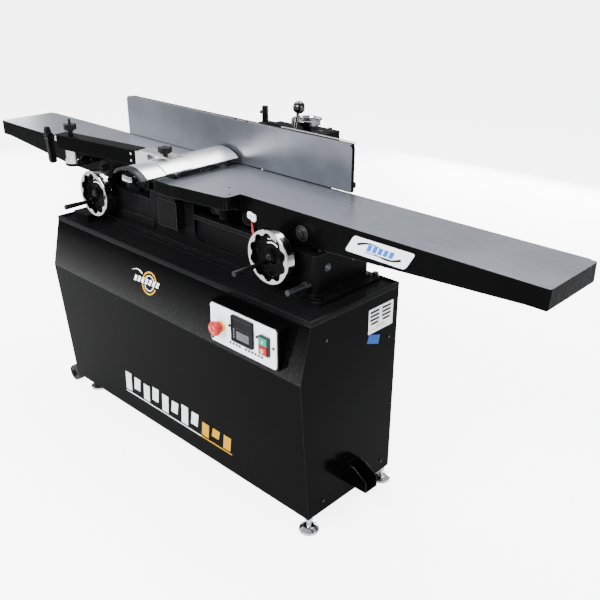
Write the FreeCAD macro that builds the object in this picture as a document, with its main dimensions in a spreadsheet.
import FreeCAD, Part
import math
import os
import Sketcher
from FreeCAD import Placement, Rotation, Vector

# Long-bed 8 inch jointer (surface planer) with a parallelogram bed, a helical
# cutterhead, a bridge guard and a tilting, sliding fence. Millimetres.
# Modelling frame: origin on the floor under the centre of the tables, +X (right)
# towards the infeed end, +Y (rear) towards the fence, +Z up. On export every
# solid is moved forward, towards -Y, by frame_shift.

os.makedirs("parts", exist_ok=True)
doc = FreeCAD.newDocument("Jointer")
sheet = doc.addObject("Spreadsheet::Sheet", "Dims")


# ---------------------------------------------------------------- sheet lengths
class Length:
    """A length from the sheet: its value and the expression that gives it."""

    def __init__(self, value, text):
        self.value = float(value)
        self.text = text

    @staticmethod
    def of(size):
        return size if isinstance(size, Length) else Length(size, repr(float(size)))

    def joined(self, sign, other, value):
        return Length(value, "(%s %s %s)" % (self.text, sign, other.text))

    def __add__(self, other):
        other = Length.of(other)
        return self.joined("+", other, self.value + other.value)

    def __sub__(self, other):
        other = Length.of(other)
        return self.joined("-", other, self.value - other.value)

    def __mul__(self, other):
        other = Length.of(other)
        return self.joined("*", other, self.value * other.value)

    def __truediv__(self, other):
        other = Length.of(other)
        return self.joined("/", other, self.value / other.value)

    def __neg__(self):
        return Length(-self.value, "(0 - %s)" % self.text)


sheet_rows = 0


def dim(alias, value):
    """Adds a driving dimension to the sheet."""
    global sheet_rows
    sheet_rows += 1
    cell = "A%d" % sheet_rows
    sheet.set(cell, str(value))
    sheet.setAlias(cell, alias)
    return Length(value, "Dims." + alias)


def number(size):
    return Length.of(size).value


def link(obj, path, size):
    """Drives a property from the sheet when the size comes from there."""
    if isinstance(size, Length):
        obj.setExpression(path, size.text)


def bind(obj, prop, size):
    setattr(obj, prop, number(size))
    link(obj, prop, size)


def place(obj, x, y, z, rotation=None):
    base = Vector(number(x), number(y), number(z))
    obj.Placement = Placement(base, rotation or Rotation())
    for axis, size in (("x", x), ("y", y), ("z", z)):
        link(obj, "Placement.Base." + axis, size)


# ---------------------------------------------------------------- solids
# Rotations that lay a solid's own Z along the named axis
TURN = {
    "Z": Rotation(),
    "Y": Rotation(Vector(1, 0, 0), -90),
    "X": Rotation(Vector(0, 1, 0), 90),
}
name_count = 0


def unique(base):
    global name_count
    name_count += 1
    return "%s_%03d" % (base, name_count)


def box(x0, x1, y0, y1, z0, z1):
    solid = doc.addObject("Part::Box", unique("Box"))
    bind(solid, "Length", Length.of(x1) - x0)
    bind(solid, "Width", Length.of(y1) - y0)
    bind(solid, "Height", Length.of(z1) - z0)
    place(solid, x0, y0, z0)
    return solid


def cyl(axis, x, y, z, radius, length):
    """Cylinder that starts at (x, y, z) and runs in the axis's + direction."""
    solid = doc.addObject("Part::Cylinder", unique("Cyl"))
    bind(solid, "Radius", radius)
    bind(solid, "Height", length)
    place(solid, x, y, z, TURN[axis])
    return solid


def cone(x, y, z, bottom_radius, top_radius, length):
    solid = doc.addObject("Part::Cone", unique("Cone"))
    bind(solid, "Radius1", bottom_radius)
    bind(solid, "Radius2", top_radius)
    bind(solid, "Height", length)
    place(solid, x, y, z)
    return solid


def ball(x, y, z, radius):
    solid = doc.addObject("Part::Sphere", unique("Ball"))
    bind(solid, "Radius", radius)
    place(solid, x, y, z)
    return solid


def hexagon(axis, x, y, z, radius, length):
    solid = doc.addObject("Part::Prism", unique("Hex"))
    solid.Polygon = 6
    bind(solid, "Circumradius", radius)
    bind(solid, "Height", length)
    place(solid, x, y, z, TURN[axis])
    return solid


def group(*parts):
    result = doc.addObject("Part::Compound", unique("Group"))
    result.Links = list(parts)
    return result


def fuse(*parts):
    result = doc.addObject("Part::MultiFuse", unique("Fuse"))
    result.Shapes = list(parts)
    result.Refine = True
    return result


def common(*parts):
    result = doc.addObject("Part::MultiCommon", unique("Common"))
    result.Shapes = list(parts)
    result.Refine = True
    return result


def cut(base, *tools):
    result = doc.addObject("Part::Cut", unique("Cut"))
    result.Base = base
    result.Tool = tools[0] if len(tools) == 1 else group(*tools)
    result.Refine = True
    return result


# ---------------------------------------------------------------- fillets
def near(a, b):
    return abs(a - b) < 0.01


def along_y(p, q):
    return near(p.x, q.x) and near(p.z, q.z)


def along_z(p, q):
    return near(p.x, q.x) and near(p.y, q.y)


def round_edges(base, radius, test):
    """Fillets the straight edges whose end points satisfy test(p, q)."""
    doc.recompute()
    fillet = doc.addObject("Part::Fillet", unique("Fillet"))
    fillet.Base = base
    picked = []
    for i, edge in enumerate(base.Shape.Edges, 1):
        if len(edge.Vertexes) == 2 and edge.Curve.TypeId == "Part::GeomLine":
            if test(edge.Vertexes[0].Point, edge.Vertexes[1].Point):
                picked.append((i, radius, radius))
    fillet.Edges = picked
    return fillet


def plate_y(radius, *limits):
    """Box with its four edges along Y rounded."""
    return round_edges(box(*limits), radius, along_y)


def plate_z(radius, *limits):
    """Box with its four edges along Z rounded."""
    return round_edges(box(*limits), radius, along_z)


# ---------------------------------------------------------------- sketched solids
PRISM_PLANE = {"X": "YZ_Plane", "Y": "XZ_Plane", "Z": "XY_Plane"}
TURNED_PLANE = {"Y": "XY_Plane", "Z": "XZ_Plane"}


def sketch_on(body, role, offset=0.0):
    sketch = body.newObject("Sketcher::SketchObject", unique("Sketch"))
    plane = [f for f in body.Origin.OriginFeatures if f.Role == role][0]
    sketch.AttachmentSupport = [(plane, "")]
    sketch.MapMode = "FlatFace"
    sketch.AttachmentOffset = Placement(Vector(0, 0, number(offset)), Rotation())
    link(sketch, "AttachmentOffset.Base.z", offset)
    return sketch


def constrain(sketch, size, *args):
    index = sketch.addConstraint(Sketcher.Constraint(*args, number(size)))
    link(sketch, "Constraints[%d]" % index, size)


def fix_point(sketch, geometry, point, x, y):
    """Ties a sketch point to the origin; a plain zero puts it on the axis."""
    for kind, axis, size in (("DistanceX", -2, x), ("DistanceY", -1, y)):
        if abs(number(size)) < 1e-9 and not isinstance(size, Length):
            sketch.addConstraint(Sketcher.Constraint("PointOnObject", geometry, point, axis))
        else:
            constrain(sketch, size, kind, -1, 1, geometry, point)


def draw_outline(sketch, points):
    flat = [Vector(number(x), number(y), 0) for x, y in points]
    total = len(flat)
    for i in range(total):
        sketch.addGeometry(Part.LineSegment(flat[i], flat[(i + 1) % total]), False)
    for i in range(total):
        sketch.addConstraint(Sketcher.Constraint("Coincident", i, 2, (i + 1) % total, 1))
    for i, (x, y) in enumerate(points):
        fix_point(sketch, i, 1, x, y)


def prism(axis, name, outline, start, end):
    """Outline across the axis, swept along it from start to end (start < end)."""
    body = doc.addObject("PartDesign::Body", name)
    # The XZ plane faces -Y, so there the sketch sits at the far end.
    offset = -Length.of(end) if axis == "Y" else Length.of(start)
    sketch = sketch_on(body, PRISM_PLANE[axis], offset)
    draw_outline(sketch, outline)
    pad = body.newObject("PartDesign::Pad", unique("Pad"))
    pad.Profile = sketch
    bind(pad, "Length", Length.of(end) - start)
    return body


def turned(axis, name, outline, x, y, z):
    """(radius, distance along the axis) outline turned about an axis through (x, y, z)."""
    body = doc.addObject("PartDesign::Body", name)
    sketch = sketch_on(body, TURNED_PLANE[axis])
    draw_outline(sketch, outline)
    turn = body.newObject("PartDesign::Revolution", unique("Turn"))
    turn.Profile = sketch
    turn.ReferenceAxis = (sketch, ["V_Axis"])
    turn.Angle = 360.0
    place(body, x, y, z)
    return body


# ---------------------------------------------------------------- driving dimensions
frame_shift = dim("frame_shift_y", 13)
run = dim("running_clearance", 0.05)

table_half = dim("table_half_length", 1067)
table_w = dim("table_half_width", 100)
top_out = dim("outfeed_top", 840)
top_in = dim("infeed_top", 839)
edge_thick = dim("table_edge", 47)
plate_thick = dim("table_plate", 28)
gap_half = dim("table_gap_half", 44)

head_x = dim("head_x", -72)
head_z = dim("head_z", 802)
cut_radius = dim("cutting_radius", 38)
motor_z = dim("motor_z", 330)

cab_left = dim("cabinet_left", -562)
cab_right = dim("cabinet_right", 548)
cab_front = dim("cabinet_front", -205)
cab_fold = dim("cabinet_fold_front", -239)
fold_z = dim("cabinet_fold_z", 468)
cab_back = dim("cabinet_back", 134)
cab_bottom = dim("cabinet_bottom", 45)
cab_top = dim("cabinet_top_z", 613)
skin = dim("sheet_thickness", 3)
deck = dim("deck_thickness", 7)
rim_high = dim("deck_rim_height", 7)
rim_wide = dim("deck_rim_width", 7)
deck_top = cab_top + deck
axle_x = dim("transport_axle_x", -592)
axle_z = dim("transport_axle_z", 33)

panel_bottom = dim("panel_bottom", 490)
panel_top = dim("panel_top", 597)
panel_left = dim("panel_left", 240)
panel_right = dim("panel_right", 479)
panel_back = dim("panel_back_y", -247)
panel_face = panel_back - 3

bed_half = dim("bed_half_length", 470)
bed_w = dim("bed_half_width", 105)
bed_wall = dim("bed_wall", 25)
bed_shoulder = dim("bed_shoulder_z", 740)
bed_tower = dim("bed_tower_z", 770)
flange_top = deck_top + 10

wheel_radius = dim("handwheel_radius", 70.5)
shaft_radius = dim("handwheel_shaft_radius", 8)
crank_radius = dim("crank_shaft_radius", 10)
journal_radius = dim("crank_journal_radius", 20)
in_wheel_x = dim("infeed_wheel_x", 364)
in_wheel_z = dim("infeed_wheel_z", 727)
out_wheel_x = dim("outfeed_wheel_x", -401)
out_wheel_z = dim("outfeed_wheel_z", 724)
in_offset_x = dim("infeed_crank_offset_x", 6.894)
in_offset_z = dim("infeed_crank_offset_z", 5.785)
out_offset_x = dim("outfeed_crank_offset_x", 8.863)
out_offset_z = dim("outfeed_crank_offset_z", 1.563)
in_outer_x = dim("infeed_outer_pivot_x", 418)
in_inner_x = dim("infeed_inner_pivot_x", 110)
out_outer_x = dim("outfeed_outer_pivot_x", -430)
out_inner_x = dim("outfeed_inner_pivot_x", -240)
pivot_drop = dim("pivot_drop", 52)

fence_left = dim("fence_left", -570)
fence_right = dim("fence_right", 402)
fence_y = dim("fence_face_y", 100)
fence_bottom = dim("fence_bottom", 841.5)
fence_top = dim("fence_top", 965)
tilt_y = dim("fence_pivot_y", 122)
tilt_z = dim("fence_pivot_z", 852)
bracket_left = dim("fence_bracket_left", 77)
bracket_right = dim("fence_bracket_right", 173)

guard_x = dim("guard_centre_x", -76)
guard_bottom = dim("guard_bottom", 861)
guard_rise = dim("guard_rise", 24)
guard_radius = dim("guard_radius", 96)
guard_top = guard_bottom + guard_rise
guard_axis_z = guard_top - guard_radius
post_x = dim("guard_post_x", -516)
post_y = dim("guard_post_y", -151)
arm_bottom = dim("guard_arm_bottom", 843)
arm_tall = dim("guard_arm_height", 45)
arm_top = arm_bottom + arm_tall

# Places and fits shared by several pieces
FOOT_AT = [(536, -190), (536, 118), (-500, -165), (-500, 94)]
FOOT_STUD_RADIUS = 6
BOLT_AT = [(x, y) for x in (484, -484) for y in (-114, 114)]
BOLT_RADIUS = 5
BOLT_HOLE_RADIUS = BOLT_RADIUS + 0.5
ACCESS_X = (-480, -200)
ACCESS_Z = (140, 480)
PORT_X, PORT_Z = 285, 440
PORT_RADIUS, PORT_BORE = 50, 48
MOUTH_X = (-162, 32)
CHUTE_INNER_HALF = 77
LOCK_X, LOCK_Z, LOCK_RADIUS = 449, 663, 7.5

# Cranks: pivot_x, pivot_z, shaft_x, shaft_z
cranks = {}
for crank_name, pivot_x, table_top, offset_x, offset_z in (
    ("infeed_crank_outer", in_outer_x, top_in, in_offset_x, in_offset_z),
    ("infeed_crank_inner", in_inner_x, top_in, in_offset_x, in_offset_z),
    ("outfeed_crank_outer", out_outer_x, top_out, out_offset_x, out_offset_z),
    ("outfeed_crank_inner", out_inner_x, top_out, out_offset_x, out_offset_z),
):
    pivot_z = table_top - pivot_drop
    cranks[crank_name] = (pivot_x, pivot_z, pivot_x - offset_x, pivot_z - offset_z)


# ---------------------------------------------------------------- cabinet
def front_skin_y(z):
    """Front skin's y at height z above the fold."""
    part_way = (Length.of(z) - fold_z) / (cab_top - fold_z)
    return cab_fold + (cab_front - cab_fold) * part_way


def cabinet_shell():
    """Sheet cabinet, open above, with holes in its rear panel and floor."""
    outline = [
        (cab_front, cab_bottom), (cab_fold, fold_z), (cab_front, cab_top),
        (cab_back, cab_top), (cab_back, cab_bottom),
    ]
    outer = prism("X", "CabinetOuter", outline, cab_left, cab_right)
    front, back, floor = cab_front + skin, cab_back - skin, cab_bottom + skin
    outline = [
        (front, floor), (cab_fold + skin, fold_z), (front, cab_top),
        (front, cab_top + 20), (back, cab_top + 20), (back, floor),
    ]
    inner = prism("X", "CabinetInner", outline, cab_left + skin, cab_right - skin)
    stud_hole = run + FOOT_STUD_RADIUS
    return cut(
        outer,
        inner,
        cyl("Y", PORT_X, 120, PORT_Z, PORT_RADIUS + 0.5, 30),
        cyl("Y", head_x, 120, motor_z, 20, 30),
        box(*ACCESS_X, 120, 140, *ACCESS_Z),
        *[cyl("Z", x, y, 40, stud_hole, 12) for x, y in FOOT_AT]
    )


def cabinet_top():
    """Deck plate with a raised rim, an opening for chips and four bolt holes."""
    rim_top = deck_top + rim_high
    rims = [
        box(x0, x1, y0, y1, deck_top, rim_top)
        for x0, x1, y0, y1 in (
            (cab_left, cab_right, cab_front, cab_front + rim_wide),
            (cab_left, cab_right, cab_back - rim_wide, cab_back),
            (cab_left, cab_left + rim_wide, cab_front, cab_back),
            (cab_right - rim_wide, cab_right, cab_front, cab_back),
        )
    ]
    plate = fuse(box(cab_left, cab_right, cab_front, cab_back, cab_top, deck_top), *rims)
    edge_z = number(rim_top)
    rounded = round_edges(plate, 2.5, lambda p, q: near(p.z, edge_z) and near(q.z, edge_z))
    opening = box(*MOUTH_X, -CHUTE_INNER_HALF, CHUTE_INNER_HALF, 600, 630)
    return cut(
        rounded, opening, *[cyl("Z", x, y, 600, BOLT_HOLE_RADIUS, 40) for x, y in BOLT_AT]
    )


def rear_access_panel():
    """Cover plate that laps the rear opening all round."""
    lap = 20
    (left, right), (bottom, top) = ACCESS_X, ACCESS_Z
    return plate_y(
        12.0, left - lap, right + lap, cab_back, cab_back + 2, bottom - lap, top + lap
    )


def chip_chute():
    """Hollow chute from the cutterhead opening to the dust port."""
    outline = [
        (-165, cab_top), (35, cab_top), (35, 612), (340, 500),
        (340, 380), (230, 380), (-165, 560),
    ]
    outer = prism("Y", "ChuteOuter", outline, -80, 80)
    left, right = MOUTH_X
    outline = [
        (left, 640), (right, 640), (right, 609.5), (337, 497.5),
        (337, 383), (231, 383), (left, 562),
    ]
    inner = prism("Y", "ChuteInner", outline, -CHUTE_INNER_HALF, CHUTE_INNER_HALF)
    return cut(outer, inner, cyl("Y", PORT_X, 70, PORT_Z, PORT_BORE, 20))


def dust_port():
    """Pipe with a square flange on the rear panel."""
    flange_half = 70
    port = fuse(
        cyl("Y", PORT_X, 80, PORT_Z, PORT_RADIUS, 104),
        plate_y(
            10.0,
            PORT_X - flange_half, PORT_X + flange_half, cab_back, cab_back + 3,
            PORT_Z - flange_half, PORT_Z + flange_half,
        ),
    )
    return cut(port, cyl("Y", PORT_X, 70, PORT_Z, PORT_BORE, 130))


def levelling_feet():
    """Pad, stud and nut of each foot, fused."""
    pad_radius, pad_high, neck_high = 27, 7, 8
    feet = [
        fuse(
            cyl("Z", x, y, 0, pad_radius, pad_high),
            cone(x, y, pad_high, pad_radius, 13, neck_high),
            cyl("Z", x, y, pad_high + neck_high, FOOT_STUD_RADIUS, 68),
            hexagon("Z", x, y, 33, 11, 12),
        )
        for x, y in FOOT_AT
    ]
    return group(*feet)


def tow_socket():
    """Tow bar socket low on the infeed end panel."""
    outline = [(cab_right, 92), (622, 92), (622, 124), (579, 154), (cab_right, 154)]
    return cut(prism("Y", "TowOuter", outline, -62, -14), box(552, 640, -58, -18, 97, 170))


AXLE_RADIUS = 8


def transport_wheel_brackets():
    """Arm, axle and axle head at the front and rear of the outfeed end."""
    arm_end = -610
    brackets = []
    for arm_y, axle_y, head_y in ((-170, -205, -209), (93, 98, 134)):
        arm = round_edges(
            box(arm_end, cab_left, arm_y, arm_y + 6, 17, 100),
            14.0,
            lambda p, q: along_y(p, q) and near(p.x, arm_end),
        )
        axle = fuse(
            cyl("Y", axle_x, axle_y, axle_z, AXLE_RADIUS, 36),
            cyl("Y", axle_x, head_y, axle_z, 12, 4),
        )
        brackets.append(fuse(arm, axle))
    return group(*brackets)


def transport_wheel(front):
    """Wheel with a raised hub and rim, turned about Y."""
    back = front + 27
    bore = run + AXLE_RADIUS
    outline = [
        (bore, front), (16, front), (16, front + 3), (24, front + 3), (25, front),
        (27, front), (28, front + 3), (28, back - 3), (27, back), (25, back),
        (24, back - 3), (16, back - 3), (16, back), (bore, back),
    ]
    return turned("Y", unique("Wheel"), outline, axle_x, 0, axle_z)


# ---------------------------------------------------------------- control box
ESTOP_X, ESTOP_Z = 282, 543
ESTOP_STEM_RADIUS = 8
WINDOW_X = (428, 454)
START_Z, STOP_Z = (546, 567), (523, 544)


def control_box():
    """Solid housing between the front skin and the control plate."""
    bottom, top = panel_bottom - 3, panel_top + 3
    outline = [
        (panel_back, bottom), (panel_back, top),
        (front_skin_y(top), top), (front_skin_y(bottom), bottom),
    ]
    return cut(
        prism("X", "ControlBox", outline, panel_left - 4, panel_right + 4),
        cyl("Y", ESTOP_X, panel_face, ESTOP_Z, 9, 12),
    )


def control_plate():
    plate = plate_y(
        7.0, panel_left, panel_right, panel_face, panel_back, panel_bottom, panel_top
    )
    return cut(plate, cyl("Y", ESTOP_X, -260, ESTOP_Z, 9, 20))


def control_screws():
    """Round heads with hexagon sockets."""
    screws = [
        cut(
            cyl("Y", x, panel_face - 2.5, z, 3.6, 2.5),
            hexagon("Y", x, panel_face - 3, z, 1.7, 2.0),
        )
        for x, z in ((313, 555), (413, 559), (471, 547), (247, 500))
    ]
    return group(*screws)


def display_unit():
    """Raised display with a sunk screen inside an even border."""
    left, right, bottom, top = 324, 402, 519, 591
    front, border = panel_face - 7, 6
    case = plate_y(4.0, left, right, front, panel_face, bottom, top)
    screen = box(
        left + border, right - border, front - 1, front + 1, bottom + border, top - border
    )
    return cut(case, screen)


def estop_collar():
    return cut(
        fuse(
            cyl("Y", ESTOP_X, panel_face - 2.5, ESTOP_Z, 14.5, 2.5),
            cyl("Y", ESTOP_X, panel_face - 8, ESTOP_Z, 12, 6),
        ),
        cyl("Y", ESTOP_X, -265, ESTOP_Z, run + ESTOP_STEM_RADIUS, 20),
    )


def estop_button():
    """Mushroom button and its stem."""
    outline = [
        (0, -282), (12, -281.5), (17, -280), (19.5, -277), (20, -273), (19, -270),
        (16.5, -268.5), (16, -260), (12.5, -260), (12.5, -266),
        (ESTOP_STEM_RADIUS, -266), (ESTOP_STEM_RADIUS, -254), (0, -254),
    ]
    return turned("Y", "EstopButton", outline, ESTOP_X, 0, ESTOP_Z)


def switch_frame():
    frame = plate_y(4.0, 423, 459, panel_face - 6, panel_face, 519, 571)
    return cut(frame, *[box(*WINDOW_X, -260, -251, *window) for window in (START_Z, STOP_Z)])


def push_button(front, window):
    """Button inside a window of the switch frame, rounded round its front face."""
    gap = 0.2
    (left, right), (bottom, top) = WINDOW_X, window
    return round_edges(
        box(left + gap, right - gap, front, -254, bottom + gap, top - gap),
        1.5,
        lambda p, q: near(p.y, front) and near(q.y, front),
    )


# ---------------------------------------------------------------- bed
HEAD_SHAFT_RADIUS = 12.5


def bed_shell():
    """Hollow bed block with its bolting flange, front pocket and front oval."""
    outline = [
        (-bed_half, deck_top + 2), (bed_half, deck_top + 2), (bed_half, bed_shoulder),
        (8, bed_shoulder), (8, bed_tower), (-190, bed_tower), (-190, bed_shoulder),
        (-bed_half, bed_shoulder),
    ]
    end_x = number(bed_half)
    block = round_edges(
        prism("Y", "BedBlock", outline, -bed_w, bed_w),
        16.0,
        lambda p, q: along_z(p, q) and near(abs(p.x), end_x),
    )
    pocket = round_edges(
        box(8, 300, -106, -92, 665, 728), 28.0, lambda p, q: along_y(p, q) and p.z < 700
    )
    flange = plate_z(14.0, -498, 498, -125, 125, deck_top, flange_top)
    step = plate_z(14.0, -478, 478, -110, 110, flange_top, flange_top + 7)
    oval_left, oval_right, oval_z, oval_radius = -336, -182, 669, 12
    oval = fuse(
        box(oval_left, oval_right, -111, -104, oval_z - oval_radius, oval_z + oval_radius),
        cyl("Y", oval_left, -111, oval_z, oval_radius, 7),
        cyl("Y", oval_right, -111, oval_z, oval_radius, 7),
    )
    inner_x, inner_y = bed_half - 15, bed_w - bed_wall
    hollow = box(-inner_x, inner_x, -inner_y, inner_y, 600, 800)
    shell = cut(fuse(block, flange, step, oval), pocket, hollow)
    web = cut(
        box(-inner_x - 1, inner_x + 1, -inner_y - 1, inner_y + 1, 636, 650),
        box(*MOUTH_X, -72, 72, 630, 660),
    )
    return [shell, web]


def bed_casting():
    """Bed with crank lugs, handwheel bosses, bearing seats and a front left boss."""
    lug_radius, lug_deep, boss_half = 14, 25, 42
    lugs = []
    bores = []
    for _, _, x, z in cranks.values():
        for y in (-75, 50):
            foot = box(x - lug_radius, x + lug_radius, y, y + lug_deep, 645, z)
            lugs.append(fuse(foot, cyl("Y", x, y, z, lug_radius, lug_deep)))
        bores.append(cyl("Y", x, -79, z, crank_radius + run, 158))
    for x, z in ((in_wheel_x, in_wheel_z), (out_wheel_x, out_wheel_z)):
        lugs.append(cyl("Y", x, -118, z, 22, 14))
        bores.append(cyl("Y", x, -125, z, shaft_radius + run, 50))
    bores.append(cyl("Y", LOCK_X, -125, LOCK_Z, run + LOCK_RADIUS, 50))
    bosses = [
        box(head_x - boss_half, head_x + boss_half, -135, -100, 690, bed_tower),
        box(head_x - boss_half, head_x + boss_half, 100, 135, 690, bed_tower),
        box(-522, -445, -168, -100, deck_top, 645),
    ]
    bolt_holes = [cyl("Z", x, y, 610, BOLT_HOLE_RADIUS, 40) for x, y in BOLT_AT]
    clearances = [
        cyl("Y", head_x, -104, head_z, cut_radius + 3, 208),
        cyl("Z", -484, -114, flange_top, 12.5, 20),
    ]
    return cut(fuse(*bed_shell(), *lugs, *bosses), *bores, *bolt_holes, *clearances)


def bed_bolts():
    """Shank, washer and hexagon head of each bolt."""
    washer = 2
    bolts = [
        fuse(
            cyl("Z", x, y, 600, BOLT_RADIUS, 32),
            cyl("Z", x, y, flange_top, 11, washer),
            hexagon("Z", x, y, flange_top + washer, 9.5, 8),
        )
        for x, y in BOLT_AT
    ]
    return group(*bolts)


def bearing_blocks():
    """Round-shouldered blocks that carry the cutterhead shaft."""
    half, deep, top = 34, 28, 835
    blocks = []
    for y in (-133, 105):
        block = round_edges(
            box(head_x - half, head_x + half, y, y + deep, bed_tower, top),
            12.0,
            lambda p, q: along_y(p, q) and p.z > top - 1,
        )
        bore = cyl("Y", head_x, y - 5, head_z, run + HEAD_SHAFT_RADIUS, 40)
        blocks.append(cut(block, bore))
    return group(*blocks)


# ---------------------------------------------------------------- cutterhead
def cutter_inserts():
    """Four helical rows of square inserts."""
    rows, per_row, twist = 4, 13, 11.0
    first_y, pitch = -91.5, 15.25
    thick, side, corner = 3.0, 14.0, 0.8
    base = Vector(cut_radius.value - 3.3, -side / 2, -side / 2)
    inserts = []
    for row in range(rows):
        for k in range(per_row):
            insert = Part.makeBox(thick, side, side, base)
            corners = [
                edge for edge in insert.Edges
                if abs(edge.Vertexes[0].Point.x - edge.Vertexes[1].Point.x) > 1
            ]
            insert = insert.makeFillet(corner, corners)
            angle = row * 360.0 / rows + k * twist
            insert.rotate(Vector(0, 0, 0), Vector(0, 1, 0), -angle)
            insert.translate(Vector(head_x.value, first_y + k * pitch, head_z.value))
            inserts.append(insert)
    feature = doc.addObject("Part::Feature", "CutterInserts")
    feature.Shape = Part.makeCompound(inserts)
    return feature


def cutterhead():
    """Head and shaft, pocketed by the inserts."""
    head = fuse(
        cyl("Y", head_x, -101, head_z, cut_radius - 1.5, 202),
        cyl("Y", head_x, -133, head_z, HEAD_SHAFT_RADIUS, 298),
    )
    return cut(head, pieces["cutter_inserts"])


# ---------------------------------------------------------------- drive
HEAD_RIM, MOTOR_RIM = 26, 52
MOTOR_SHAFT_RADIUS = 12
GROOVES_Y = (139, 150)


def pulley_rim(rim):
    """Outline points of a rim with two V grooves."""
    points = [(rim, 137)]
    for y in GROOVES_Y:
        points += [(rim, y), (rim - 5, y + 3.5), (rim - 5, y + 5.5), (rim, y + 9)]
    return points + [(rim, 161)]


def head_pulley():
    bore = HEAD_SHAFT_RADIUS
    outline = [(bore, 137)] + pulley_rim(HEAD_RIM) + [(20, 163), (bore, 163)]
    return turned("Y", "HeadPulley", outline, head_x, 0, head_z)


def motor_pulley():
    """Pulley in one piece with the motor shaft."""
    shaft = [(0, 82), (MOTOR_SHAFT_RADIUS, 82), (MOTOR_SHAFT_RADIUS, 137)]
    outline = shaft + pulley_rim(MOTOR_RIM) + [(18, 163), (0, 163)]
    return turned("Y", "MotorPulley", outline, head_x, 0, motor_z)


def motor():
    """Turned can with a block below and a block above."""
    outline = [
        (0, -150), (60, -150), (80, -140), (84, -125), (84, -60), (88, -58),
        (88, 62), (84, 64), (84, 80), (50, 95), (0, 95),
    ]
    body = fuse(
        turned("Y", "MotorCan", outline, head_x, 0, motor_z),
        box(head_x - 62, head_x + 62, -50, 55, 238, 300),
        box(head_x - 40, head_x + 40, -30, 40, 400, 440),
    )
    return cut(body, cyl("Y", head_x, 78, motor_z, run + MOTOR_SHAFT_RADIUS, 30))


def motor_shelf():
    """Shelf on two side legs."""
    left, right, under, leg = -190, 46, 228, 6
    return fuse(
        box(left, right, -196, 131, under, 238),
        box(left, left + leg, -150, 120, 48, under),
        box(right - leg, right, -150, 120, 48, under),
    )


def belt_loop(y, offset):
    """Filled belt outline round both pulleys, offset from the belt's inner side."""
    seat, width = 3.4, 1.6
    top_radius, low_radius = HEAD_RIM - seat, MOTOR_RIM - seat
    top = Vector(head_x.value, 0, head_z.value)
    low = Vector(head_x.value, 0, motor_z.value)
    lean = math.asin((low_radius - top_radius) / (top.z - low.z))
    top_radius += offset
    low_radius += offset
    right = Vector(math.cos(lean), 0, math.sin(lean))
    left = Vector(-math.cos(lean), 0, math.sin(lean))
    top_right, top_left = top + right * top_radius, top + left * top_radius
    low_left, low_right = low + left * low_radius, low + right * low_radius
    edges = [
        Part.Arc(top_right, top + Vector(0, 0, top_radius), top_left),
        Part.LineSegment(top_left, low_left),
        Part.Arc(low_left, low - Vector(0, 0, low_radius), low_right),
        Part.LineSegment(low_right, top_right),
    ]
    face = Part.Face(Part.Wire([edge.toShape() for edge in edges]))
    face.translate(Vector(0, y, 0))
    return face.extrude(Vector(0, width, 0))


def drive_belts():
    """One belt in each pair of grooves."""
    thick = 7.0
    belts = []
    for groove in GROOVES_Y:
        y = groove + 3.7
        belts.append(belt_loop(y, thick).cut(belt_loop(y, 0.0)))
    feature = doc.addObject("Part::Feature", "DriveBelts")
    feature.Shape = Part.makeCompound(belts)
    return feature


def belt_guard():
    """Round-cornered cover over both pulleys, open to the front."""
    half, corner, wall = 65, 40.0, 2
    outer = plate_y(corner, head_x - half, head_x + half, 134, 176, 260, 837)
    half -= wall
    inner = plate_y(
        corner - wall, head_x - half, head_x + half, 130, 176 - wall, 260 + wall, 837 - wall
    )
    return cut(outer, inner)


# ---------------------------------------------------------------- tables
def table_solids(name, x0, x1, top, ears, ribs, end_x, taper):
    """Hollowed plate, tapered skirts, cross ribs and crank ears of one table.

    ears are (x0, x1) pairs, ribs are x centres, end_x is the table's outer end
    and taper is the (x, z) skirt outline.
    """
    wall = 15
    end, bottom = number(end_x), number(top - edge_thick)

    def end_edge(p, q):
        """Upright or bottom edge of the outer end."""
        on_end = near(p.x, end) and near(q.x, end)
        return on_end and (abs(p.z - q.z) > 1 or (near(p.z, bottom) and near(q.z, bottom)))

    block = round_edges(box(x0, x1, -table_w, table_w, top - edge_thick, top), 5.0, end_edge)
    hollow = box(
        x0 + wall, x1 - wall, -table_w + wall, table_w - wall,
        top - edge_thick - 3, top - plate_thick,
    )
    solids = [cut(block, hollow)]
    rib_top = top - plate_thick + 1
    for side, y0, y1 in (("F", -100, -85), ("R", 85, 100)):
        solids.append(prism("Y", name + "Skirt" + side, taper, y0, y1))
    for x in ribs:
        solids.append(box(x - 5, x + 5, -90, 90, top - 43, rib_top))
    low_z = number(top) - 70
    for ear_x0, ear_x1 in ears:
        for y0, y1 in ((-table_w, -table_w + 18), (table_w - 18, table_w)):
            ear = box(ear_x0, ear_x1, y0, y1, top - 78, rib_top)
            rounded = round_edges(ear, 12.0, lambda p, q: along_y(p, q) and p.z < low_z)
            solids.append(rounded)
    return solids


def journal_bores(side):
    """Bores through the table ears for the journals of one side's cranks."""
    bores = []
    for name in (side + "_crank_outer", side + "_crank_inner"):
        x, z = cranks[name][:2]
        bores.append(cyl("Y", x, -110, z, journal_radius + run, 220))
    return bores


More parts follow.
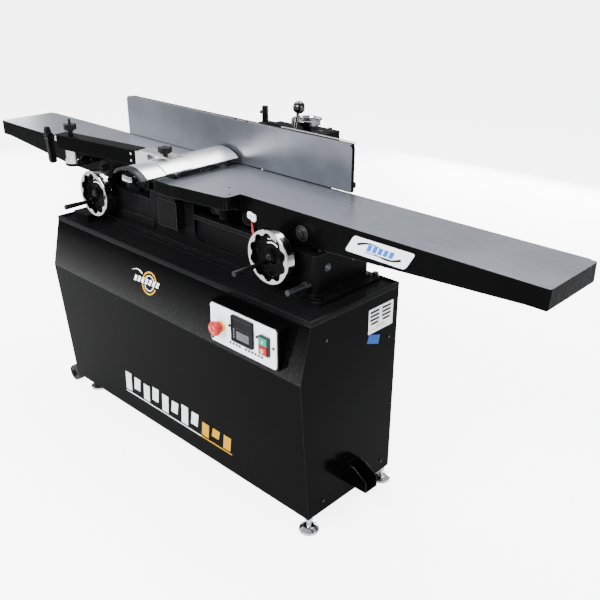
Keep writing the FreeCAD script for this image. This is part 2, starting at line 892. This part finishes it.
def infeed_table():
    """Infeed table with a ledge along its front edge and a boss under the ledge."""
    solids = table_solids(
        "In", head_x + gap_half, table_half, top_in,
        ears=((205, 462), (78, 142)),
        ribs=(300, 560, 700, 840, 960),
        end_x=table_half,
        taper=[(1020, 799), (1020, 792), (500, 761), (455, 761), (455, 799)],
    )
    # (x, y) outline
    ledge = [
        (-28, -99), (-28, -136), (-66, -136), (-66, -178), (6, -177), (44, -170),
        (120, -160), (176, -152.5), (188, -150), (196, -145), (200, -136), (200, -99),
    ]
    solids.append(prism("Z", "Ledge", ledge, top_in - 35, top_in))
    solids.append(cyl("Z", 172, -132, top_in - 62, 15, 30))
    small_holes = [cyl("Z", x, y, top_in - 12, 3.5, 20) for x, y in ((181, -121), (134, -81))]
    return cut(fuse(*solids), *journal_bores("infeed"), *small_holes)


def outfeed_table():
    solids = table_solids(
        "Out", -table_half, head_x - gap_half, top_out,
        ears=((-482, -385), (-280, -200)),
        ribs=(-330, -560, -700, -840, -960),
        end_x=-table_half,
        taper=[(-1012, 800), (-1012, 793), (-640, 762), (-470, 762), (-470, 800)],
    )
    return cut(fuse(*solids), *journal_bores("outfeed"))


def crank(pivot_x, pivot_z, shaft_x, shaft_z):
    """Centre shaft with an off-centre journal for each table ear and a hexagon in front."""
    journal = 17.5
    return fuse(
        cyl("Y", shaft_x, -83, shaft_z, crank_radius, 166),
        cyl("Y", pivot_x, -table_w, pivot_z, journal_radius, journal),
        cyl("Y", pivot_x, table_w - journal, pivot_z, journal_radius, journal),
        cyl("Y", pivot_x, -102, pivot_z, 13, 2),
        hexagon("Y", pivot_x, -110, pivot_z, 11, 8),
    )


# ---------------------------------------------------------------- table adjustment
def adjuster_gear_cases():
    """Cases that join each handwheel shaft to its outer crank."""
    cases = []
    for x0, x1, crank_name, wheel_x, wheel_z in (
        (345, 436, "infeed_crank_outer", in_wheel_x, in_wheel_z),
        (-454, -380, "outfeed_crank_outer", out_wheel_x, out_wheel_z),
    ):
        x, z = cranks[crank_name][2:]
        case = round_edges(
            box(x0, x1, -48, -10, 650, z + 13), 8.0, lambda p, q: along_y(p, q) and p.z > 700
        )
        crank_bore = cyl("Y", x, -60, z, crank_radius + run, 60)
        wheel_bore = cyl("Y", wheel_x, -60, wheel_z, shaft_radius + run, 42)
        cases.append(cut(case, crank_bore, wheel_bore))
    return group(*cases)


GRIP_PIN_RADIUS = 3


def wheel_body(name, x, z):
    """Scalloped rim, dished web, hub and shaft, turned about Y."""
    rim_face, scallops = 165.0, 10
    outline = [
        (0, -160), (9, -160), (15, -157), (17, -150), (24, -147), (50, -149), (52, -151),
        (52, -rim_face), (69, -rim_face), (wheel_radius, -163.5), (wheel_radius, -141.5),
        (69, -140), (54, -140), (50, -143), (24, -141), (18, -138), (16, -124),
        (shaft_radius, -122), (shaft_radius, -22), (0, -22),
    ]
    body = turned("Y", name, outline, x, 0, z)
    doc.recompute()
    sketch = sketch_on(body, "XZ_Plane", rim_face)
    centre_x, centre_y, radius = 0.0, 49.0, 14.2
    circle = Part.Circle(Vector(centre_x, centre_y, 0), Vector(0, 0, 1), radius)
    index = sketch.addGeometry(circle, False)
    fix_point(sketch, index, 3, centre_x, centre_y)
    constrain(sketch, radius, "Radius", index)
    pocket = body.newObject("PartDesign::Pocket", unique("Scallop"))
    pocket.Profile = sketch
    pocket.Length = 13.0
    doc.recompute()
    pattern = body.newObject("PartDesign::PolarPattern", unique("Scallops"))
    pattern.Originals = [pocket]
    pattern.Axis = (sketch, ["N_Axis"])
    pattern.Angle = 360.0
    pattern.Occurrences = scallops
    body.Tip = pattern
    doc.recompute()
    return body


def handwheel_and_grip(side, x, z, angle):
    """Handwheel with its crank pin at the angle, and the grip that turns on the pin."""
    wheel = wheel_body(side.capitalize() + "Wheel", x, z)
    pin_x = x + 40.0 * math.cos(math.radians(angle))
    pin_z = z + 40.0 * math.sin(math.radians(angle))
    pin = fuse(
        cyl("Y", pin_x, -156, pin_z, 6, 12), cyl("Y", pin_x, -241, pin_z, GRIP_PIN_RADIUS, 92)
    )
    add_piece(side + "_handwheel", fuse(wheel, pin))
    bore = GRIP_PIN_RADIUS + 0.05
    outline = [
        (bore, -157), (bore, -243), (0, -243), (0, -250), (6.5, -250), (8, -248),
        (8, -244), (7, -210), (5.2, -160), (5.2, -157),
    ]
    add_piece(side + "_grip", turned("Y", unique("Grip"), outline, pin_x, 0, pin_z))


def infeed_lock_rod():
    return fuse(
        cyl("Y", LOCK_X, -182, LOCK_Z, LOCK_RADIUS, 100), cyl("Y", LOCK_X, -122, LOCK_Z, 10, 16)
    )


def depth_scale():
    """Two overlapping rounded plates on the front of the infeed table."""
    return fuse(
        plate_y(7.0, 226, 246, -102, -100, 781, 800), plate_y(7.0, 238, 258, -102, -100, 776, 797)
    )


def depth_pointer():
    outline = [(255, 729), (264, 729), (254, 752), (248.6, 774.5), (246.2, 774.5), (246, 752)]
    return prism("Y", "Pointer", outline, -107, -105)


# ---------------------------------------------------------------- guard
ARM_SWING = 8.7
POST_RADIUS, KNOB_ROD_RADIUS = 9, 4
STUB_Z, STUB_RADIUS = 868, 7
SADDLE_KNOB_X, SADDLE_KNOB_Y = -85, -118


def swung(piece):
    """Turns a finished guard arm piece about the post."""
    doc.recompute()
    centre = Vector(post_x.value, post_y.value, 0)
    turn = Rotation(Vector(0, 0, 1), ARM_SWING)
    piece.Placement = Placement(Vector(0, 0, 0), turn, centre)
    doc.recompute()
    return piece


def guard_bracket():
    """Plate on the outfeed table's front, shelf, small block and post."""
    return fuse(
        plate_y(8.0, -571, -475, -106, -100, 796, 838),
        round_edges(
            box(-540, -492, -175, -100, 791, 799),
            20.0,
            lambda p, q: along_z(p, q) and p.y < -150,
        ),
        box(-522, -510, -122, -100, 799, 812),
        cyl("Z", post_x, post_y, 791, POST_RADIUS, 89),
    )


def guard_arm():
    """Box-section arm, open at the infeed end, with a rear-top to stub detail set below."""
    wall = 3
    left, right, front, back = post_x - 35, post_x + 308, post_y - 29, post_y + 13
    body = cut(
        box(left, right, front, back, arm_bottom, arm_top),
        box(
            left + wall, right + wall, front + wall, back - wall,
            arm_bottom + wall, arm_top - wall,
        ),
        cyl("Z", post_x, post_y, arm_bottom - 5, run + POST_RADIUS, 20),
        cyl("Z", post_x, post_y, arm_top - 10, run + KNOB_ROD_RADIUS, 20),
    )
    stub = cyl("X", post_x - 108, post_y - 6, STUB_Z, STUB_RADIUS, 78)
    lip = box(left - wall, right, front - 2, front, arm_top - 2, arm_top)
    return swung(fuse(body, lip, stub))


def guard_post_sleeve():
    sleeve = fuse(
        cyl("Z", post_x, post_y, 799.5, 24, 12), cyl("Z", post_x, post_y, 811, 21, 32)
    )
    return cut(sleeve, cyl("Z", post_x, post_y, 790, run + POST_RADIUS, 60))


def star(x, y, z, tall):
    """Core and five lobes of a hand knob."""
    lobes, spread, lobe_radius, core_radius = 5, 14, 6, 15
    solids = [cyl("Z", x, y, z, core_radius, tall)]
    for i in range(lobes):
        angle = 2 * math.pi * i / lobes
        lobe_x, lobe_y = x + spread * math.cos(angle), y + spread * math.sin(angle)
        solids.append(cyl("Z", lobe_x, lobe_y, z, lobe_radius, tall))
    return solids


def height_knob():
    """Knob on top of the guard post."""
    return fuse(
        *star(post_x, post_y, arm_top + 13, 17),
        cyl("Z", post_x, post_y, arm_top, 8, 14),
        cyl("Z", post_x, post_y, 881, KNOB_ROD_RADIUS, 53)
    )


def clamp_lever():
    """Flat hanging lever with a hub round the arm's stub."""
    centre_y = post_y.value - 6.0
    # (y from the stub's centre, z)
    outline = [
        (-13, 888), (-8, 788), (-3, 783), (11, 783), (16, 788), (5, 888), (1, 899), (-9, 899),
    ]
    points = [(centre_y + y, z) for y, z in outline]
    lever = prism("X", "ClampLever", points, post_x.value - 104, post_x.value - 92)
    hub = cyl("X", post_x - 106, post_y - 6, STUB_Z, 13, 16)
    bore = cyl("X", post_x - 112, post_y - 6, STUB_Z, run + STUB_RADIUS, 30)
    return swung(cut(fuse(lever, hub), bore))


def arch(outer_radius, inner_radius, y0, y1, low_z):
    """Arched sheet about the guard's axis, from y0 to y1 and above low_z."""
    length = Length.of(y1) - y0
    bar = common(
        cyl("Y", guard_x, y0, guard_axis_z, outer_radius, length),
        box(guard_x - 70, guard_x + 70, y0, y1, low_z, guard_top + 10),
    )
    return cut(bar, cyl("Y", guard_x, y0 - 1, guard_axis_z, inner_radius, length + 2))


def bridge_guard():
    return arch(guard_radius, guard_radius - 3, -234, 86, guard_bottom)


def guard_end_caps():
    caps = [
        arch(guard_radius + 0.6, guard_radius - 6, y0, y1, guard_bottom - 2)
        for y0, y1 in ((-254, -234), (86, 94))
    ]
    return group(*caps)


def guard_saddle():
    """Block at the arm's end with an arched skin over the bridge guard."""
    inner_radius = guard_radius + 0.2
    skin_arch = arch(guard_radius + 3.4, inner_radius, -172, -84, guard_bottom + 3)
    outline = [(-206.9, -133), (-150, -133), (-150, -91.5), (-213.3, -91.5)]
    block = fuse(
        prism("Z", "SaddleBlock", outline, 846, 886), box(-190, -56, -130, -84, 885.5, 891)
    )
    return cut(
        fuse(block, skin_arch),
        cyl("Y", guard_x, -260, guard_axis_z, inner_radius, 360),
        cyl("Z", SADDLE_KNOB_X, SADDLE_KNOB_Y, 880, run + KNOB_ROD_RADIUS, 20),
    )


def saddle_knob():
    x, y = SADDLE_KNOB_X, SADDLE_KNOB_Y
    return fuse(
        *star(x, y, 900, 15),
        cyl("Z", x, y, 891, 7, 10),
        cyl("Z", x, y, 885.6, KNOB_ROD_RADIUS, 12)
    )


# ---------------------------------------------------------------- fence
PIVOT_RADIUS, KNUCKLE_RADIUS = 4, 7
KEY_X, KEY_BOTTOM = (112, 138), 837
FENCE_WHEEL_X, FENCE_WHEEL_Y, FENCE_SHAFT_RADIUS = 93, 262, 6
TILT_LEVER_X, TILT_LEVER_Z, TILT_PIN_RADIUS = 90, 915, 5


def fence_plate():
    """Fence face with top and bottom rails and uprights behind it."""
    plate = round_edges(
        box(fence_left, fence_right, fence_y, fence_y + 12, fence_bottom, fence_top),
        12.0,
        lambda p, q: along_y(p, q) and p.z > 960,
    )
    y0, y1 = fence_y + 11, fence_y + 24
    ribs = [
        box(fence_left + 12, fence_right - 12, y0, y1, fence_top - 14, fence_top - 1),
        box(fence_left + 3, 40, y0, y1, 850, 864),
        box(210, fence_right - 3, y0, y1, 850, 864),
    ]
    for x in (-562, -430, -300, -170, -40, 218, 300, 388):
        ribs.append(box(x - 5, x + 5, y0, fence_y + 22, 860, fence_top - 12))
    return fuse(plate, *ribs)


def fence_bracket():
    """Bracket behind the fence with two knuckles and the tilt pin."""
    knuckle = 18
    left, right = bracket_left, bracket_right
    return fuse(
        box(left, right, 112, 120, 862, 950),
        box(left, right, 112, 126, 858, 868),
        cyl("X", left, tilt_y, tilt_z, KNUCKLE_RADIUS, knuckle),
        cyl("X", right - knuckle, tilt_y, tilt_z, KNUCKLE_RADIUS, knuckle),
        box(left, left + knuckle, 115, 128, 852, 862),
        box(right - knuckle, right, 115, 128, 852, 862),
        cyl("X", 62, tilt_y, tilt_z, PIVOT_RADIUS, 126),
    )


def fence_carriage():
    """Sliding base with a tower, a left arm on a gusset, a key and two pivot ears."""
    left, right, ear = 60, 190, 12
    ears_x = (63, 175)
    base = box(left, right, 136, 300, 845, 857)
    ears = [
        fuse(
            box(x, x + ear, tilt_y, 138, 845, 859),
            cyl("X", x, tilt_y, tilt_z, KNUCKLE_RADIUS, ear),
        )
        for x in ears_x
    ]
    tower = box(left, right, 216, 296, 855, 938)
    arm = box(-82, 62, 216, 276, 900, 930)
    outline = [(-60, 900), (60, 860), (61, 860), (61, 905), (-60, 905)]
    gusset = prism("Y", "CarriageGusset", outline, 226, 266)
    key = box(*KEY_X, 255, 300, KEY_BOTTOM, 846)
    bores = [cyl("X", x - 1, tilt_y, tilt_z, run + PIVOT_RADIUS, ear + 2) for x in ears_x]
    return cut(
        fuse(base, tower, arm, gusset, key, *ears),
        *bores,
        cyl("Z", FENCE_WHEEL_X, FENCE_WHEEL_Y, 900, run + FENCE_SHAFT_RADIUS, 60),
        cyl("Y", TILT_LEVER_X, 190, TILT_LEVER_Z, run + TILT_PIN_RADIUS, 60)
    )


def tilt_stop_post():
    """Post on a square foot, with a ball-ended pin near its top."""
    return fuse(
        cyl("Z", -58, 240, 930, 10, 52),
        box(-74, -44, 226, 256, 930, 934),
        cyl("X", -75, 240, 962, 3, 12),
        ball(-75, 240, 962, 5.5),
    )


def fence_bridge():
    """Sloping bridge from the bed to the carriage, with a keyway and a hollow."""
    outline = [
        (105, 655), (128, 655), (308, 800), (308, 845), (131, 845), (131, 838), (105, 838),
    ]
    (left, right), gap = KEY_X, 0.1
    return cut(
        prism("X", "BridgeArm", outline, 66, 184),
        box(left - gap, right + gap, 100, 310, KEY_BOTTOM - gap, 850),
        box(84, 166, 125, 280, 700, 825),
    )


def fence_handwheel():
    """Handwheel and shaft, turned about Z."""
    outline = [
        (0, 900), (FENCE_SHAFT_RADIUS, 900), (FENCE_SHAFT_RADIUS, 938.2), (12, 938.2),
        (12, 944), (8, 947), (10, 951), (38, 955), (39, 949), (46, 949), (46, 962),
        (44, 964), (38, 964), (36, 959), (10, 957), (8, 962), (0, 962),
    ]
    return turned("Z", "FenceWheel", outline, FENCE_WHEEL_X, FENCE_WHEEL_Y, 0)


def tilt_lever():
    """Ball lever that locks the tilt; it turns on a pin along Y."""
    x, y, z, lean, reach = TILT_LEVER_X, 210, TILT_LEVER_Z, 13.0, 92
    rod = cyl("Z", 0, 0, 0, 4.5, 78)
    place(rod, x, y, z, Rotation(Vector(0, 1, 0), lean))
    ball_x = x + reach * math.sin(math.radians(lean))
    ball_z = z + reach * math.cos(math.radians(lean))
    return fuse(
        cyl("Y", x, 205, z, 9, 10),
        cyl("Y", x, 205, z, TILT_PIN_RADIUS, 40),
        rod,
        ball(ball_x, y, ball_z, 18),
    )


# ---------------------------------------------------------------- build and export
pieces = {}


def add_piece(name, obj):
    obj.Label = name
    pieces[name] = obj


def add_each(*builders):
    """Adds one piece per function, under the function's name."""
    for build in builders:
        add_piece(build.__name__, build())


add_each(cabinet_shell, cabinet_top, rear_access_panel, chip_chute, dust_port)
add_each(levelling_feet, tow_socket, transport_wheel_brackets)
add_piece("transport_wheel_front", transport_wheel(-203.0))
add_piece("transport_wheel_rear", transport_wheel(105.0))
add_each(control_box, control_plate, control_screws, display_unit)
add_each(estop_collar, estop_button, switch_frame)
add_piece("start_button", push_button(-260, START_Z))
add_piece("stop_button", push_button(-262, STOP_Z))
add_each(bed_casting, bed_bolts, bearing_blocks, cutter_inserts, cutterhead)
add_each(head_pulley, motor_pulley, motor, motor_shelf, drive_belts, belt_guard)
add_each(infeed_table, outfeed_table)
for crank_name, centres in cranks.items():
    add_piece(crank_name, crank(*centres))
add_each(adjuster_gear_cases)
handwheel_and_grip("infeed", in_wheel_x, in_wheel_z, 222.0)
handwheel_and_grip("outfeed", out_wheel_x, out_wheel_z, 228.0)
add_each(infeed_lock_rod, depth_scale, depth_pointer)
add_each(guard_bracket, guard_arm, guard_post_sleeve, height_knob, clamp_lever)
add_each(bridge_guard, guard_end_caps, guard_saddle, saddle_knob)
add_each(fence_plate, fence_bracket, fence_carriage, tilt_stop_post)
add_each(fence_bridge, fence_handwheel, tilt_lever)

doc.recompute()
failed = [o.Name for o in doc.Objects if "Invalid" in o.State or "Error" in o.State]
if failed:
    raise RuntimeError("failed objects: " + ", ".join(failed))
for name, obj in pieces.items():
    if obj.Shape.isNull() or not obj.Shape.isValid() or not obj.Shape.Solids:
        raise RuntimeError("bad shape: " + name)
for name, obj in pieces.items():
    shape = obj.Shape.copy()
    shape.translate(Vector(0, -frame_shift.value, 0))
    shape.exportStep(os.path.join("parts", name + ".step"))
